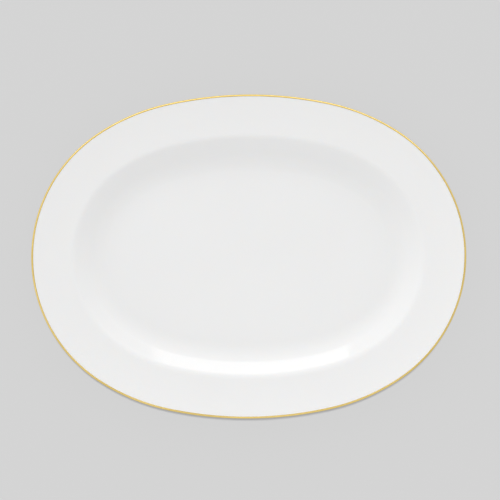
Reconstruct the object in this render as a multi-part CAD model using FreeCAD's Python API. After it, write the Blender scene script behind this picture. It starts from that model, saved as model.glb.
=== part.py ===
import FreeCAD
import Part

import math
import os

# An oval serving platter in bone china, with a gold line round its lip.
#
# A platter is one pressed and fired piece of china: a flat well, a curved wall, a broad rim (the
# marly) and a foot ring. Clear glaze covers it all except the foot's bearing edge, and the gold is
# fired on over the glaze at the lip. Each of these materials is a node of its own, and each lies
# on the one below with no gap and no overlap.
#
# Frame: +Z up, +X along the long axis, origin on the table plane under the platter's centre.
# Sizes are millimetres. Everything is one section swept round an oval, so "inset" means the distance
# in from the glazed lip's outermost line, and heights are above the table.

Vector = FreeCAD.Vector
UP = Vector(0, 0, 1)

# Plan: an oval of eight tangent arcs, given by the arcs at its ends
LENGTH = 356.0
WIDTH = 266.0
END_RADIUS = 122.0
END_HALF_ANGLE = 56.5  # from the long axis to where an end arc meets a shoulder arc
SHOULDER_END_ANGLE = 77.5  # from the long axis to where a shoulder arc meets a side arc

# Face: a flat floor, a straight wall that leaves it in a broad curve, and the marly, which bends a
# little steeper near the lip
FLOOR_HEIGHT = 7.4
WELL_DEPTH = 11.1
WALL_SLOPE = 30.0
WALL_RADIUS = 30.0
VERGE_INSET = 34.2  # the verge is the corner between the wall and the marly
VERGE_RADIUS = 10.0
MARLY_INNER_SLOPE = 5.5
MARLY_OUTER_SLOPE = 11.0
MARLY_BEND_INSET = 16.0
MARLY_BEND_RADIUS = 260.0

# Lip
LIP_THICKNESS = 2.75
LIP_FACE_RADIUS = 1.2
LIP_BACK_RADIUS = 1.3

# Back
BACK_OUTER_SLOPE = 10.5
BACK_INNER_SLOPE = 7.5
BACK_BEND_INSET = 17.0
BACK_BEND_RADIUS = 260.0
WALL_THICKNESS = 4.0
ARMPIT_RADIUS = 10.0  # the hollow corner behind the verge
BELLY_SLOPE = 14.0  # the underside between the wall and the foot ring
BELLY_RADIUS = 24.0

# Foot ring, and the flat base inside it
BASE_HEIGHT = 3.0
FOOT_OUTER_INSET = 57.0
FOOT_INNER_INSET = 60.6
FOOT_FLANK_RUN = 1.6  # how far each flank leans over the foot's height
FOOT_EDGE_RADIUS = 1.0
FOOT_ROOT_RADIUS = 2.0

# Glaze and gold
GLAZE = 0.2
BARE_HEIGHT = 0.5  # the glaze is wiped off the foot below this height
GOLD = 0.15
GOLD_FACE_WIDTH = 1.6  # how far in from the lip the gold reaches over the face, and over the back
GOLD_BACK_WIDTH = 0.8

CORE_INSET = 66.0  # beyond this inset both the floor and the base are flat
MARGIN = 1.0  # extra reach for the regions that cut sections


def slope(degrees):
    """Rise per unit of run at that angle."""
    return math.tan(math.radians(degrees))


def direction(degrees):
    """The unit vector at that angle in plan."""
    return Vector(math.cos(math.radians(degrees)), math.sin(math.radians(degrees)), 0)


def crossing(point, angle, other, other_angle):
    """Where two section lines meet, each given by a point (inset, height) and its slope angle."""
    rise, other_rise = slope(angle), slope(other_angle)
    inset = (other[1] - point[1] + rise * point[0] - other_rise * other[0]) / (rise - other_rise)
    return inset, point[1] + rise * (inset - point[0])


def plan_arcs():
    """The oval's eight arcs, as (centre, radius, start angle, sweep)."""
    end, shoulder = direction(END_HALF_ANGLE), direction(SHOULDER_END_ANGLE)
    end_centre = Vector(LENGTH / 2 - END_RADIUS, 0, 0)
    # The shoulder and side radii solve two linear equations: the side arc's centre lies on the
    # short axis, and its top is at half the width.
    across = (shoulder.x - end.x, -shoulder.x, -end_centre.x - END_RADIUS * end.x)
    up = (shoulder.y - end.y, 1 - shoulder.y, WIDTH / 2 - END_RADIUS * end.y)
    determinant = across[0] * up[1] - across[1] * up[0]
    shoulder_radius = (across[2] * up[1] - across[1] * up[2]) / determinant
    side_radius = (across[0] * up[2] - across[2] * up[0]) / determinant

    shoulder_centre = end_centre + end * (END_RADIUS - shoulder_radius)
    far_shoulder_centre = Vector(-shoulder_centre.x, shoulder_centre.y, 0)
    side_centre = shoulder_centre + shoulder * (shoulder_radius - side_radius)
    shoulder_sweep = SHOULDER_END_ANGLE - END_HALF_ANGLE
    half = [
        (end_centre, END_RADIUS, -END_HALF_ANGLE, 2 * END_HALF_ANGLE),
        (shoulder_centre, shoulder_radius, END_HALF_ANGLE, shoulder_sweep),
        (side_centre, side_radius, SHOULDER_END_ANGLE, 180 - 2 * SHOULDER_END_ANGLE),
        (far_shoulder_centre, shoulder_radius, 180 - SHOULDER_END_ANGLE, shoulder_sweep),
    ]
    return half + [(-centre, radius, start + 180, sweep) for centre, radius, start, sweep in half]


def section_corners():
    """The whole platter's section, as (inset, height, fillet radius), from the floor to the base."""
    verge = (VERGE_INSET, FLOOR_HEIGHT + WELL_DEPTH)
    wall_foot = (VERGE_INSET + WELL_DEPTH / slope(WALL_SLOPE), FLOOR_HEIGHT)
    marly_bend = (
        MARLY_BEND_INSET,
        verge[1] + (VERGE_INSET - MARLY_BEND_INSET) * slope(MARLY_INNER_SLOPE),
    )
    lip_face = (0, marly_bend[1] + MARLY_BEND_INSET * slope(MARLY_OUTER_SLOPE))

    lip_back = (0, lip_face[1] - LIP_THICKNESS)
    back_bend = (BACK_BEND_INSET, lip_back[1] - BACK_BEND_INSET * slope(BACK_OUTER_SLOPE))
    wall_back = (wall_foot[0] - WALL_THICKNESS / math.sin(math.radians(WALL_SLOPE)), FLOOR_HEIGHT)
    armpit = crossing(back_bend, -BACK_INNER_SLOPE, wall_back, -WALL_SLOPE)
    foot_outer = (FOOT_OUTER_INSET, 0)
    foot_inner = (FOOT_INNER_INSET, 0)
    flank_slope = math.degrees(math.atan2(BASE_HEIGHT, FOOT_FLANK_RUN))
    foot_root = crossing(wall_back, -BELLY_SLOPE, foot_outer, -flank_slope)
    base_root = (FOOT_INNER_INSET + FOOT_FLANK_RUN, BASE_HEIGHT)
    return [
        (CORE_INSET + MARGIN, FLOOR_HEIGHT, 0),
        (*wall_foot, WALL_RADIUS),
        (*verge, VERGE_RADIUS),
        (*marly_bend, MARLY_BEND_RADIUS),
        (*lip_face, LIP_FACE_RADIUS),
        (*lip_back, LIP_BACK_RADIUS),
        (*back_bend, BACK_BEND_RADIUS),
        (*armpit, ARMPIT_RADIUS),
        (*wall_back, BELLY_RADIUS),
        (*foot_root, FOOT_ROOT_RADIUS),
        (*foot_outer, FOOT_EDGE_RADIUS),
        (*foot_inner, FOOT_EDGE_RADIUS),
        (*base_root, FOOT_ROOT_RADIUS),
        (CORE_INSET + MARGIN, BASE_HEIGHT, 0),
    ]


def filleted_face(corners):
    """The face inside a closed outline of (inset, height, fillet radius) corners, in the XZ plane."""
    points = [Vector(-inset, 0, height) for inset, height, radius in corners]
    edges = []
    tangents = []
    for i, point in enumerate(points):
        radius = corners[i][2]
        back = (points[i - 1] - point).normalize()
        ahead = (points[(i + 1) % len(points)] - point).normalize()
        half_angle = back.getAngle(ahead) / 2
        reach = radius / math.tan(half_angle)
        tangents.append((point + back * reach, point + ahead * reach))
        if radius:
            bisector = (back + ahead).normalize()
            middle = point + bisector * (radius / math.sin(half_angle) - radius)
            edges.append(Part.Arc(tangents[i][0], middle, tangents[i][1]).toShape())
    for i, tangent in enumerate(tangents):
        edges.append(Part.makeLine(tangents[i - 1][1], tangent[0]))
    return Part.Face(Part.Wire(Part.__sortEdges__(edges)))


def polygon_face(*corners):
    """The face inside a closed outline of sharp (inset, height) corners, in the XZ plane."""
    return filleted_face([(inset, height, 0) for inset, height in corners])


def sections():
    """Each node's section, cut from the platter's own section and its offsets."""
    lip_height = section_corners()[4][1]
    top = lip_height + MARGIN
    lip_middle = lip_height - LIP_THICKNESS / 2
    lip_bottom = lip_height - LIP_THICKNESS - MARGIN

    platter = filleted_face(section_corners())
    under_glaze = Part.Face(Part.Wire(platter.makeOffset2D(-GLAZE).Edges))
    over_gold = Part.Face(Part.Wire(platter.makeOffset2D(GOLD).Edges))
    core = polygon_face(
        (CORE_INSET, 0), (CORE_INSET, top), (CORE_INSET + MARGIN, top), (CORE_INSET + MARGIN, 0)
    )
    bare_foot = polygon_face((CORE_INSET, 0), (0, 0), (0, BARE_HEIGHT), (CORE_INSET, BARE_HEIGHT))
    gilt_lip = polygon_face(
        (GOLD_FACE_WIDTH, top), (GOLD_FACE_WIDTH, lip_middle),
        (GOLD_BACK_WIDTH, lip_middle), (GOLD_BACK_WIDTH, lip_bottom),
        (-MARGIN, lip_bottom), (-MARGIN, top),
    )
    coat = platter.cut(under_glaze).cut(core).cut(bare_foot)
    base_glaze, face_glaze = sorted(coat.Faces, key=lambda face: face.BoundBox.ZMax)
    return {
        "china_body": platter.cut(core).cut(coat).Faces[0],
        "face_glaze": face_glaze,
        "base_glaze": base_glaze,
        "gold_edge_line": over_gold.cut(platter).common(gilt_lip).Faces[0],
    }


def oval_face(inset, height):
    """A flat oval face at that inset and height."""
    edges = []
    for centre, radius, start, sweep in plan_arcs():
        circle = Part.Circle(centre + UP * height, UP, radius - inset)
        edges.append(circle.toShape(math.radians(start), math.radians(start + sweep)))
    return Part.Face(Part.Wire(edges))


def swept_solid(section):
    """The solid made by sweeping a section round the oval, closed by flat ovals inside its core."""
    faces = []
    for edge in section.OuterWire.Edges:
        insets = [-vertex.X for vertex in edge.Vertexes]
        if max(insets) > CORE_INSET - Part.Precision.confusion():
            if max(insets) - min(insets) > MARGIN:
                faces.append(oval_face(min(insets), edge.Vertexes[0].Z))
            continue
        for centre, radius, start, sweep in plan_arcs():
            placed = edge.copy()
            placed.translate(Vector(radius, 0, 0))
            placed.rotate(Vector(0, 0, 0), UP, start)
            placed.translate(centre)
            faces.append(placed.revolve(centre, UP, sweep))
    shell = Part.makeCompound(faces)
    shell.sewShape()
    return Part.makeSolid(shell.Shells[0])


os.makedirs("parts", exist_ok=True)
for name, section in sections().items():
    swept_solid(section).exportStep(f"parts/{name}.step")
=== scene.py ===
"""An oval china serving platter with a gold line round its lip, on a plain pale floor.

The china is one section swept round an oval of eight arcs. Insets are millimetres in from the glazed
lip's outermost line, heights are millimetres above the table, and meshes are made in metres.
"""

import math

import bpy
from mathutils import Matrix, Quaternion, Vector


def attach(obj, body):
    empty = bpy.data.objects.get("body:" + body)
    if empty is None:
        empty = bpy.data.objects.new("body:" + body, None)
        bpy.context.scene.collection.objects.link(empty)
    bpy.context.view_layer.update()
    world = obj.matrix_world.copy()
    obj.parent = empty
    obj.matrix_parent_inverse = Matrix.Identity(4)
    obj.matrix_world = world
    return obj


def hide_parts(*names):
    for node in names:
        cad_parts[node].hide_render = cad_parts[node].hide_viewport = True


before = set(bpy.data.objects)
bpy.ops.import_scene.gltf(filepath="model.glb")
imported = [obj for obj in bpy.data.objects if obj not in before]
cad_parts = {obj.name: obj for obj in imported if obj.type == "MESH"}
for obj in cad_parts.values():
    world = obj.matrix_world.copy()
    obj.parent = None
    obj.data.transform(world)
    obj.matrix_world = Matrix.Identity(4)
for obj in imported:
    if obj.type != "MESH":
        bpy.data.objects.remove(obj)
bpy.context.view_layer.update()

MM = 0.001

# Plan of the oval
LENGTH = 356.0
WIDTH = 266.0
END_RADIUS = 122.0
END_HALF_ANGLE = 56.5
SHOULDER_END_ANGLE = 77.5
COLUMNS_PER_QUARTER = 144

# Section of the china
FLOOR_HEIGHT = 7.4
WELL_DEPTH = 11.1
WALL_SLOPE = 30.0
WALL_RADIUS = 30.0
VERGE_INSET = 34.2
VERGE_RADIUS = 10.0
MARLY_INNER_SLOPE = 5.5
MARLY_OUTER_SLOPE = 11.0
MARLY_BEND_INSET = 16.0
MARLY_BEND_RADIUS = 260.0
LIP_THICKNESS = 2.75
LIP_FACE_RADIUS = 1.2
LIP_BACK_RADIUS = 1.3
BACK_OUTER_SLOPE = 10.5
BACK_INNER_SLOPE = 7.5
BACK_BEND_INSET = 17.0
BACK_BEND_RADIUS = 260.0
WALL_THICKNESS = 4.0
ARMPIT_RADIUS = 10.0
BELLY_SLOPE = 14.0
BELLY_RADIUS = 24.0
BASE_HEIGHT = 3.0
FOOT_OUTER_INSET = 57.0
FOOT_INNER_INSET = 60.6
FOOT_FLANK_RUN = 1.6
FOOT_EDGE_RADIUS = 1.0
FOOT_ROOT_RADIUS = 2.0
FLAT_INSET = 66.0  # floor and base are both flat from here in

# Glaze and gold
BARE_HEIGHT = 0.5  # the foot has no glaze below this height
GLAZE_EDGE = 0.1  # how far the glaze stands proud of the bare foot
GOLD_FACE_REACH = 0.5  # along the lip's curve, from its top, over the face and over the back
GOLD_BACK_REACH = 3.4
GOLD_THICKNESS = 0.06
GOLD_EMBED = 0.05
GOLD_ROWS = 18
GOLD_TAPER = 6  # the gold thins over this fraction, a sixth, of its width at each edge
FOOT_LEAN = FOOT_FLANK_RUN / BASE_HEIGHT

# Colours, each material's own and then those that it varies to
CHINA = (0.879, 0.880, 0.878)
CHINA_CLOUD = (0.887, 0.888, 0.886)
GATHERED_GLAZE = (0.80, 0.825, 0.825)
THINNED_GLAZE = (0.90, 0.885, 0.855)
BISCUIT = (0.84, 0.82, 0.78)
BISCUIT_PATCH = (0.78, 0.76, 0.72)
BISCUIT_RUB = (0.52, 0.51, 0.50)
GOLD = (0.84, 0.63, 0.21)
GOLD_PATCH = (0.91, 0.69, 0.25)
GOLD_STREAK = (0.67, 0.475, 0.14)

# Relief in the surfaces, in metres
RIPPLE_DEPTH = 0.000012
SKIN_DEPTH = 0.0000008
GRAIN_DEPTH = 0.00003
STREAK_DEPTH = 0.00001
STREAK_STRETCH = 90.0  # how much finer the gold's streaks are across the line than along it

# Floor, in metres: plain pale paper, partly self-lit, which fades out far from the platter
FLOOR_LEVEL = -0.00005
FADE_START = 1.5
FADE_END = 7.0
FLOOR_SIDES = 128
FLOOR_GREY = 0.66
FLOOR_GLOW = 0.53  # how strongly the paper lights itself
FLOOR_WHITE = 0.10  # how much of its grey the lights act on

# Light: the sky is an even base with soft glows, as (azimuth, elevation, tightness, radiance)
SKY_BASE = 0.525
SKY_GLOWS = (
    (0, 17, 3, 0.57),
    (180, 17, 3, 0.21),
    (90, 17, 3, 0.31),
    (-90, 17, 3, 0.55),
    (180, 50, 5, 0.37),
    (45, 6, 5, 0.36),
    (-45, 6, 5, 0.37),
)
BACKDROP = FLOOR_GREY  # what the camera sees past the floor

# Softboxes, as (azimuth, elevation, distance, width, height, radiance)
KEY_LIGHT = (-1, 25, 1.5, 3.0, 0.37, 1.5)
OVERHEAD_LIGHT = (0, 88, 12.0, 0.4, 0.8, 5400)

# Camera
LENS = 200
SENSOR_WIDTH = 36
CAMERA_ELEVATION = 85.54
CAMERA_ROLL = -0.52
CAMERA_DISTANCE = 2.295
AIM_RIGHT = 0.0010
AIM_UP = 0.00646
NEAREST_SEEN = 0.05
FARTHEST_SEEN = 50

# How finely sections are divided
FILLET_STEP = math.radians(7.5)
LONG_STEP = 2.0
HOLD = 0.25  # how far from each end of a straight the row lies that holds its shading
TOLERANCE = 1e-6


def slope(degrees):
    """Rise per unit of run at that angle."""
    return math.tan(math.radians(degrees))


def direction(degrees):
    """The unit vector at that angle in plan."""
    turn = math.radians(degrees)
    return Vector((math.cos(turn), math.sin(turn)))


def crossing(point, angle, other, other_angle):
    """Where two section lines meet, each given by an (inset, height) point and its slope angle."""
    rise, other_rise = slope(angle), slope(other_angle)
    inset = (other[1] - point[1] + rise * point[0] - other_rise * other[0]) / (rise - other_rise)
    return inset, point[1] + rise * (inset - point[0])


def quarter_arcs():
    """The oval's three arcs in its first quarter, as (centre, radius, first angle, last angle)."""
    end, shoulder = direction(END_HALF_ANGLE), direction(SHOULDER_END_ANGLE)
    end_centre = Vector((LENGTH / 2 - END_RADIUS, 0))
    across = (shoulder.x - end.x, -shoulder.x, -end_centre.x - END_RADIUS * end.x)
    up = (shoulder.y - end.y, 1 - shoulder.y, WIDTH / 2 - END_RADIUS * end.y)
    determinant = across[0] * up[1] - across[1] * up[0]
    shoulder_radius = (across[2] * up[1] - across[1] * up[2]) / determinant
    side_radius = (across[0] * up[2] - across[2] * up[0]) / determinant
    shoulder_centre = end_centre + end * (END_RADIUS - shoulder_radius)
    side_centre = shoulder_centre + shoulder * (shoulder_radius - side_radius)
    return [
        (end_centre, END_RADIUS, 0, END_HALF_ANGLE),
        (shoulder_centre, shoulder_radius, END_HALF_ANGLE, SHOULDER_END_ANGLE),
        (side_centre, side_radius, SHOULDER_END_ANGLE, 90),
    ]


def lip_columns():
    """Evenly spaced columns round the lip, as (point, outward direction) in plan."""
    arcs = quarter_arcs()
    lengths = [radius * math.radians(last - first) for centre, radius, first, last in arcs]
    spacing = sum(lengths) / COLUMNS_PER_QUARTER
    quarter = []
    for i in range(COLUMNS_PER_QUARTER + 1):
        run = i * spacing
        for (centre, radius, first, last), length in zip(arcs, lengths):
            if run <= length + TOLERANCE:
                break
            run -= length
        angle = math.radians(first) + run / radius
        outward = Vector((math.cos(angle), math.sin(angle)))
        quarter.append((centre + outward * radius, outward))
    columns = []
    for flip_x, flip_y, part in (
        (1, 1, quarter[:-1]),
        (-1, 1, quarter[:0:-1]),
        (-1, -1, quarter[:-1]),
        (1, -1, quarter[:0:-1]),
    ):
        flip = Vector((flip_x, flip_y))
        columns += [(point * flip, outward * flip) for point, outward in part]
    return columns


def section_corners():
    """The china's section as (inset, height, fillet radius), from the floor round to the base."""
    verge = (VERGE_INSET, FLOOR_HEIGHT + WELL_DEPTH)
    wall_foot = (VERGE_INSET + WELL_DEPTH / slope(WALL_SLOPE), FLOOR_HEIGHT)
    marly_rise = (VERGE_INSET - MARLY_BEND_INSET) * slope(MARLY_INNER_SLOPE)
    marly_bend = (MARLY_BEND_INSET, verge[1] + marly_rise)
    lip_face = (0, marly_bend[1] + MARLY_BEND_INSET * slope(MARLY_OUTER_SLOPE))
    lip_back = (0, lip_face[1] - LIP_THICKNESS)
    back_bend = (BACK_BEND_INSET, lip_back[1] - BACK_BEND_INSET * slope(BACK_OUTER_SLOPE))
    wall_back = (wall_foot[0] - WALL_THICKNESS / math.sin(math.radians(WALL_SLOPE)), FLOOR_HEIGHT)
    armpit = crossing(back_bend, -BACK_INNER_SLOPE, wall_back, -WALL_SLOPE)
    flank_slope = math.degrees(math.atan2(BASE_HEIGHT, FOOT_FLANK_RUN))
    foot_root = crossing(wall_back, -BELLY_SLOPE, (FOOT_OUTER_INSET, 0), -flank_slope)
    return [
        (FLAT_INSET, FLOOR_HEIGHT, 0),
        (*wall_foot, WALL_RADIUS),
        (*verge, VERGE_RADIUS),
        (*marly_bend, MARLY_BEND_RADIUS),
        (*lip_face, LIP_FACE_RADIUS),
        (*lip_back, LIP_BACK_RADIUS),
        (*back_bend, BACK_BEND_RADIUS),
        (*armpit, ARMPIT_RADIUS),
        (*wall_back, BELLY_RADIUS),
        (*foot_root, FOOT_ROOT_RADIUS),
        (FOOT_OUTER_INSET, 0, FOOT_EDGE_RADIUS),
        (FOOT_INNER_INSET, 0, FOOT_EDGE_RADIUS),
        (FOOT_INNER_INSET + FOOT_FLANK_RUN, BASE_HEIGHT, FOOT_ROOT_RADIUS),
        (FLAT_INSET, BASE_HEIGHT, 0),
    ]


def rounded_line(corners):
    """Points along an open line whose corners, (inset, height, radius), are rounded."""
    line = [Vector(corners[0][:2])]
    for before, corner, after in zip(corners, corners[1:], corners[2:]):
        point, radius = Vector(corner[:2]), corner[2]
        back = (Vector(before[:2]) - point).normalized()
        ahead = (Vector(after[:2]) - point).normalized()
        half_angle = back.angle(ahead) / 2
        reach = radius / math.tan(half_angle)
        centre = point + (back + ahead).normalized() * (radius / math.sin(half_angle))
        spoke = point + back * reach - centre
        turn = -spoke.angle_signed(point + ahead * reach - centre)
        steps = math.ceil(max(2, abs(turn) / FILLET_STEP, abs(turn) * radius / LONG_STEP))
        add_straight(line, centre + spoke)
        for i in range(1, steps + 1):
            line.append(centre + Matrix.Rotation(turn * i / steps, 2) @ spoke)
    add_straight(line, Vector(corners[-1][:2]))
    return line


def add_straight(line, end):
    """Extends a line straight to an end point, with a row close to each end to hold the shading."""
    start = line[-1]
    length = (end - start).length
    if length > 3 * HOLD:
        inner = length - 2 * HOLD
        pieces = math.ceil(inner / LONG_STEP)
        stops = [HOLD + inner * i / pieces for i in range(pieces + 1)]
        line += [start.lerp(end, stop / length) for stop in stops]
    line.append(end)


def ring_points(inset, height, columns):
    """One row of points, an inset and a height given all round the oval, in metres."""
    return [Vector((*(point - outward * inset), height)) * MM for point, outward in columns]


def swept_object(name, rows, closed):
    """A solid from rows of points round the oval, closed into a tube or by a flat face at each end."""
    count = len(rows[0])
    faces = []
    for i in range(len(rows) if closed else len(rows) - 1):
        this, below = i * count, (i + 1) % len(rows) * count
        for j in range(count):
            k = (j + 1) % count
            faces.append((this + j, below + j, below + k, this + k))
    if not closed:
        faces.append(tuple(range(count)))
        faces.append(tuple(range(len(rows) * count - 1, (len(rows) - 1) * count - 1, -1)))
    mesh = bpy.data.meshes.new(name)
    mesh.from_pydata([point for row in rows for point in row], [], faces)
    mesh.validate()
    mesh.shade_smooth()
    piece = bpy.data.objects.new(name, mesh)
    bpy.context.scene.collection.objects.link(piece)
    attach(piece, "root")
    return piece


def set_attribute(piece, name, values):
    """Stores one number per vertex, for the materials to read."""
    attribute = piece.data.attributes.new(name, "FLOAT", "POINT")
    attribute.data.foreach_set("value", values)


def bends(line):
    """How sharply an open line turns at each point, in radians per mm, positive in hollows."""
    found = [0.0]
    for before, point, after in zip(line, line[1:], line[2:]):
        turn = (point - before).angle_signed(after - point)
        found.append(turn / ((after - before).length / 2))
    return found + [0.0]


def make_glazed_china(columns):
    """The whole platter above the glaze's edge on the foot: face, lip, back and base."""
    corners = section_corners()
    glaze_ends = [
        (FOOT_OUTER_INSET - FOOT_LEAN * BARE_HEIGHT, BARE_HEIGHT, GLAZE_EDGE),
        (FOOT_INNER_INSET + FOOT_LEAN * BARE_HEIGHT, BARE_HEIGHT, GLAZE_EDGE),
    ]
    line = rounded_line(corners[:10] + glaze_ends + corners[12:])
    rows = [ring_points(inset, height, columns) for inset, height in line]
    piece = swept_object("glazed_china", rows, closed=False)
    hollows = [bend for bend in bends(line) for column in columns]
    set_attribute(piece, "hollow", hollows)
    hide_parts("china_body", "face_glaze", "base_glaze")
    return piece


def make_bare_foot_edge(columns):
    """The unglazed ring that the platter stands on."""
    top = 2 * BARE_HEIGHT
    outer, inner = FOOT_OUTER_INSET + GLAZE_EDGE, FOOT_INNER_INSET - GLAZE_EDGE
    line = rounded_line([
        (outer - FOOT_LEAN * top, top, 0),
        (outer, 0, FOOT_EDGE_RADIUS),
        (inner, 0, FOOT_EDGE_RADIUS),
        (inner + FOOT_LEAN * top, top, 0),
    ])
    rows = [ring_points(inset, height, columns) for inset, height in line]
    piece = swept_object("bare_foot_edge", rows, closed=True)
    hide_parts("china_body")
    return piece


def lip_path():
    """The lip's curve from the face to the back, as (point, outward direction, distance)."""
    line = rounded_line(section_corners()[3:7])
    top = max(range(len(line)), key=lambda i: line[i].y)
    path = []
    run = -sum((after - point).length for point, after in zip(line[:top], line[1:]))
    for before, point, after in zip(line, line[1:], line[2:]):
        run += (point - before).length
        along = (after - before).normalized()
        path.append((point, Vector((-along.y, along.x)), run))
    return path


def on_path(path, distance):
    """The point and outward direction at that distance along a path."""
    for (start, start_out, run), (end, end_out, end_run) in zip(path, path[1:]):
        if distance <= end_run:
            break
    share = (distance - run) / (end_run - run)
    return start.lerp(end, share), start_out.lerp(end_out, share).normalized()


def make_gold_line(columns):
    """The gold fired on over the glaze round the lip, as thin as a brush leaves it at its edges."""
    path = lip_path()
    over, under = [], []
    for i in range(GOLD_ROWS + 1):
        share = i / GOLD_ROWS
        point, out = on_path(path, -GOLD_FACE_REACH + share * (GOLD_FACE_REACH + GOLD_BACK_REACH))
        body = min(1.0, GOLD_TAPER * min(share, 1 - share))
        over.append(point + out * GOLD_THICKNESS * body)
        under.append(point - out * GOLD_EMBED)
    line = over + under[::-1]
    rows = [ring_points(inset, height, columns) for inset, height in line]
    piece = swept_object("gold_line", rows, closed=True)
    across = [
        i * MM * (GOLD_FACE_REACH + GOLD_BACK_REACH) / GOLD_ROWS for i in range(GOLD_ROWS + 1)
    ]
    set_attribute(piece, "across", [a for a in across + across[::-1] for column in columns])
    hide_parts("gold_edge_line")
    return piece


class Look:
    """A material, with short calls that add nodes and join them."""

    def __init__(self, name):
        self.material = bpy.data.materials.new(name)
        self.material.use_nodes = True
        self.tree = self.material.node_tree
        self.tree.nodes.clear()
        self.place = self.add("ShaderNodeTexCoord").outputs["Object"]

    def add(self, kind, inputs=None, **settings):
        """A new node, with its inputs joined or set and its own settings made."""
        node = self.tree.nodes.new(kind)
        for name, value in settings.items():
            setattr(node, name, value)
        for name, value in (inputs or {}).items():
            if isinstance(value, bpy.types.NodeSocket):
                self.tree.links.new(value, node.inputs[name])
            else:
                node.inputs[name].default_value = value
        return node

    def noise(self, scale, detail=2.0, place=None, distortion=0.0):
        """Smooth noise from 0 to 1, with features about 1/scale metres across."""
        node = self.add("ShaderNodeTexNoise", {
            "Vector": place or self.place,
            "Scale": scale,
            "Detail": detail,
            "Distortion": distortion,
        })
        return node.outputs["Fac"]

    def stretch(self, value, low, high, to_low=0.0, to_high=1.0):
        """A value rescaled from one range to another, and held inside it."""
        node = self.add("ShaderNodeMapRange", {
            "Value": value,
            "From Min": low,
            "From Max": high,
            "To Min": to_low,
            "To Max": to_high,
        }, interpolation_type="SMOOTHSTEP")
        return node.outputs["Result"]

    def calculate(self, operation, first, second):
        """A sum or the like on two values."""
        node = self.add("ShaderNodeMath", {0: first, 1: second}, operation=operation)
        return node.outputs["Value"]

    def blend(self, share, first, second):
        """A colour between two colours."""
        node = self.add("ShaderNodeMix", {"Factor": share}, data_type="RGBA")
        for socket, colour in (("A_Color", first), ("B_Color", second)):
            slot = next(i for i in node.inputs if i.identifier == socket)
            if isinstance(colour, bpy.types.NodeSocket):
                self.tree.links.new(colour, slot)
            else:
                slot.default_value = (*colour, 1)
        return next(o for o in node.outputs if o.identifier == "Result_Color")

    def bump(self, height, depth, under=None):
        """A bumped normal, from a height of 0 to 1 over that depth in metres."""
        inputs = {"Height": height, "Strength": 1.0, "Distance": depth}
        if under:
            inputs["Normal"] = under
        return self.add("ShaderNodeBump", inputs).outputs["Normal"]

    def finish(self, **inputs):
        """Ends the material in a Principled surface with those inputs."""
        named = {name.replace("_", " "): value for name, value in inputs.items()}
        surface = self.add("ShaderNodeBsdfPrincipled", named)
        self.add("ShaderNodeOutputMaterial", {"Surface": surface.outputs["BSDF"]})
        return self.material


def china_look():
    """White china under clear gloss glaze, which gathers in hollows and has faint ripples."""
    look = Look("glazed_china")
    clouds = look.stretch(look.noise(9, 3), 0.3, 0.7)
    white = look.blend(clouds, CHINA, CHINA_CLOUD)
    bend = look.add("ShaderNodeAttribute", attribute_name="hollow").outputs["Fac"]
    gathered = look.stretch(bend, 0.02, 0.6, 0.0, 0.5)
    white = look.blend(gathered, white, GATHERED_GLAZE)
    thinned = look.stretch(bend, -0.1, -0.9, 0.0, 0.4)
    white = look.blend(thinned, white, THINNED_GLAZE)
    rough = look.stretch(look.noise(45, 3), 0.3, 0.7, 0.02, 0.05)
    ripple = look.bump(look.noise(75, 2, distortion=0.4), RIPPLE_DEPTH)
    skin = look.bump(look.noise(600, 2), SKIN_DEPTH, ripple)
    return look.finish(
        Base_Color=white,
        Roughness=rough,
        IOR=1.55,
        Subsurface_Weight=0.25,
        Subsurface_Radius=(0.0016, 0.0014, 0.0012),
        Subsurface_Scale=1.0,
        Normal=skin,
    )


def biscuit_look():
    """Bare fired china, with fine grain and the grey rub marks of a foot that has stood on shelves."""
    look = Look("bare_foot_edge")
    grain = look.noise(2600, 4)
    colour = look.blend(look.stretch(look.noise(60, 4), 0.35, 0.7), BISCUIT, BISCUIT_PATCH)
    rubs = look.stretch(look.noise(320, 5), 0.58, 0.72, 0.0, 0.35)
    colour = look.blend(rubs, colour, BISCUIT_RUB)
    rough = look.stretch(grain, 0.2, 0.8, 0.62, 0.82)
    return look.finish(
        Base_Color=colour,
        Roughness=rough,
        Specular_IOR_Level=0.3,
        Normal=look.bump(grain, GRAIN_DEPTH),
    )


def gold_look():
    """Burnished gold laid on with a banding brush, so its faint streaks follow the lip."""
    look = Look("gold_line")
    across = look.add("ShaderNodeAttribute", attribute_name="across").outputs["Fac"]
    apart = look.add("ShaderNodeSeparateXYZ", {"Vector": look.place})
    streak_place = look.add("ShaderNodeCombineXYZ", {
        "X": apart.outputs["X"],
        "Y": apart.outputs["Y"],
        "Z": look.calculate("MULTIPLY", across, STREAK_STRETCH),
    }).outputs["Vector"]
    streaks = look.noise(38, 3, streak_place)
    patches = look.noise(26, 3)
    colour = look.blend(look.stretch(patches, 0.3, 0.7), GOLD, GOLD_PATCH)
    colour = look.blend(look.stretch(streaks, 0.45, 0.75, 0.0, 0.5), colour, GOLD_STREAK)
    return look.finish(
        Base_Color=colour,
        Metallic=1.0,
        Roughness=look.stretch(streaks, 0.3, 0.7, 0.16, 0.3),
        Normal=look.bump(streaks, STREAK_DEPTH),
    )


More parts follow.
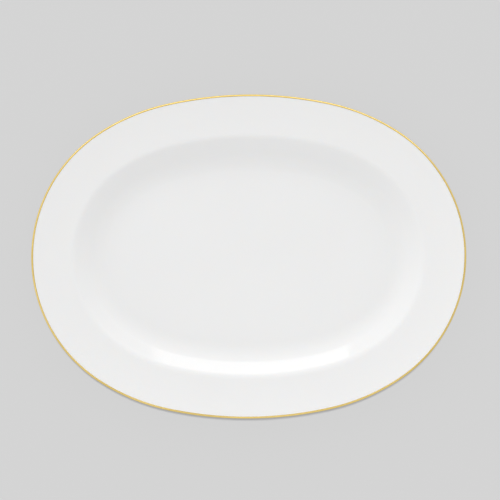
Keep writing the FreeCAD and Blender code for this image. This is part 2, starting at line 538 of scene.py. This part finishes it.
def floor_look():
    """Plain pale paper, the same all over, which fades into the surroundings far away."""
    look = Look("floor")
    look.finish(
        Base_Color=(FLOOR_GREY * FLOOR_WHITE,) * 3 + (1,),
        Roughness=0.75,
        Specular_IOR_Level=0.0,
        Emission_Color=(FLOOR_GREY,) * 3 + (1,),
        Emission_Strength=FLOOR_GLOW,
    )
    surface = next(node for node in look.tree.nodes if node.type == "BSDF_PRINCIPLED")
    output = next(node for node in look.tree.nodes if node.type == "OUTPUT_MATERIAL")
    distance = look.add("ShaderNodeVectorMath", {0: look.place}, operation="LENGTH")
    faded = look.stretch(distance.outputs["Value"], FADE_START, FADE_END)
    clear = look.add("ShaderNodeBsdfTransparent")
    mixed = look.add("ShaderNodeMixShader", {
        "Fac": faded,
        1: surface.outputs["BSDF"],
        2: clear.outputs["BSDF"],
    })
    look.tree.links.new(mixed.outputs["Shader"], output.inputs["Surface"])
    return look.material


def make_floor():
    """A wide round floor just under the foot, which fades into the surroundings far away."""
    rim = [
        (FADE_END * math.cos(turn), FADE_END * math.sin(turn), FLOOR_LEVEL)
        for turn in (math.tau * i / FLOOR_SIDES for i in range(FLOOR_SIDES))
    ]
    mesh = bpy.data.meshes.new("floor")
    mesh.from_pydata(rim, [], [tuple(range(len(rim)))])
    floor = bpy.data.objects.new("floor", mesh)
    bpy.context.scene.collection.objects.link(floor)
    mesh.materials.append(floor_look())
    return floor


def heading(azimuth, elevation):
    """The unit vector that way, with azimuth 0 at the platter's far side and 90 to its right."""
    turn, lift = math.radians(azimuth), math.radians(elevation)
    return Vector((math.sin(turn) * math.cos(lift), math.cos(turn) * math.cos(lift), math.sin(lift)))


def make_softbox(name, azimuth, elevation, distance, width, height, radiance, lit):
    """A softbox that faces the platter from that way, flagged off all but the lit objects."""
    away = heading(azimuth, elevation)
    lamp = bpy.data.lights.new(name, "AREA")
    lamp.shape = "RECTANGLE"
    lamp.size, lamp.size_y = width, height
    lamp.energy = radiance * math.pi * width * height
    softbox = bpy.data.objects.new(name, lamp)
    softbox.location = away * distance
    softbox.rotation_mode = "QUATERNION"
    softbox.rotation_quaternion = away.to_track_quat("Z", "Y")
    softbox.visible_camera = False
    bpy.context.scene.collection.objects.link(softbox)
    reached = bpy.data.collections.new(f"lit_by_{name}")
    for thing in lit:
        reached.objects.link(thing)
    softbox.light_linking.receiver_collection = reached


def make_surroundings():
    """A pale studio all round, with soft glows in its light, seen as a backdrop like the floor."""
    world = bpy.data.worlds.new("studio")
    bpy.context.scene.world = world
    world.use_nodes = True
    tree = world.node_tree
    tree.nodes.clear()
    place = tree.nodes.new("ShaderNodeTexCoord").outputs["Generated"]

    def calculate(operation, first, second):
        node = tree.nodes.new("ShaderNodeMath")
        node.operation = operation
        for socket, value in zip(node.inputs, (first, second)):
            if isinstance(value, bpy.types.NodeSocket):
                tree.links.new(value, socket)
            else:
                socket.default_value = value
        return node.outputs["Value"]

    total = SKY_BASE
    for azimuth, elevation, tightness, radiance in SKY_GLOWS:
        facing = tree.nodes.new("ShaderNodeVectorMath")
        facing.operation = "DOT_PRODUCT"
        facing.inputs[1].default_value = heading(azimuth, elevation)
        tree.links.new(place, facing.inputs[0])
        near = calculate("MAXIMUM", facing.outputs["Value"], 0.0)
        glow = calculate("MULTIPLY", calculate("POWER", near, tightness), radiance)
        total = calculate("ADD", glow, total)
    seen = tree.nodes.new("ShaderNodeLightPath").outputs["Is Camera Ray"]
    plain = calculate("MULTIPLY", seen, BACKDROP)
    lighting = calculate("MULTIPLY", calculate("SUBTRACT", 1.0, seen), total)
    background = tree.nodes.new("ShaderNodeBackground")
    background.inputs["Color"].default_value = (1, 1, 1, 1)
    tree.links.new(calculate("ADD", plain, lighting), background.inputs["Strength"])
    output = tree.nodes.new("ShaderNodeOutputWorld")
    tree.links.new(background.outputs["Background"], output.inputs["Surface"])


def make_camera():
    """A long lens almost straight above, with the platter's far side at the top of the picture."""
    data = bpy.data.cameras.new("camera")
    data.lens = LENS
    data.sensor_width = SENSOR_WIDTH
    camera = bpy.data.objects.new("camera", data)
    lift = math.radians(CAMERA_ELEVATION)
    back = Vector((0, -math.cos(lift), math.sin(lift)))
    level = back.to_track_quat("Z", "Y")
    turned = level @ Quaternion((0, 0, 1), math.radians(CAMERA_ROLL))
    aim = turned @ Vector((AIM_RIGHT, AIM_UP, 0))
    camera.rotation_mode = "QUATERNION"
    camera.rotation_quaternion = turned
    camera.location = aim + back * CAMERA_DISTANCE
    data.clip_start, data.clip_end = NEAREST_SEEN, FARTHEST_SEEN
    bpy.context.scene.collection.objects.link(camera)
    bpy.context.scene.camera = camera


columns = lip_columns()
platter = [make(columns) for make in (make_glazed_china, make_bare_foot_edge, make_gold_line)]
for piece, look in zip(platter, (china_look, biscuit_look, gold_look)):
    piece.data.materials.append(look())
floor = make_floor()
make_softbox("key", *KEY_LIGHT, lit=platter)
make_softbox("overhead", *OVERHEAD_LIGHT, lit=[floor])
make_surroundings()
make_camera()
bpy.context.scene.view_settings.view_transform = "Standard"
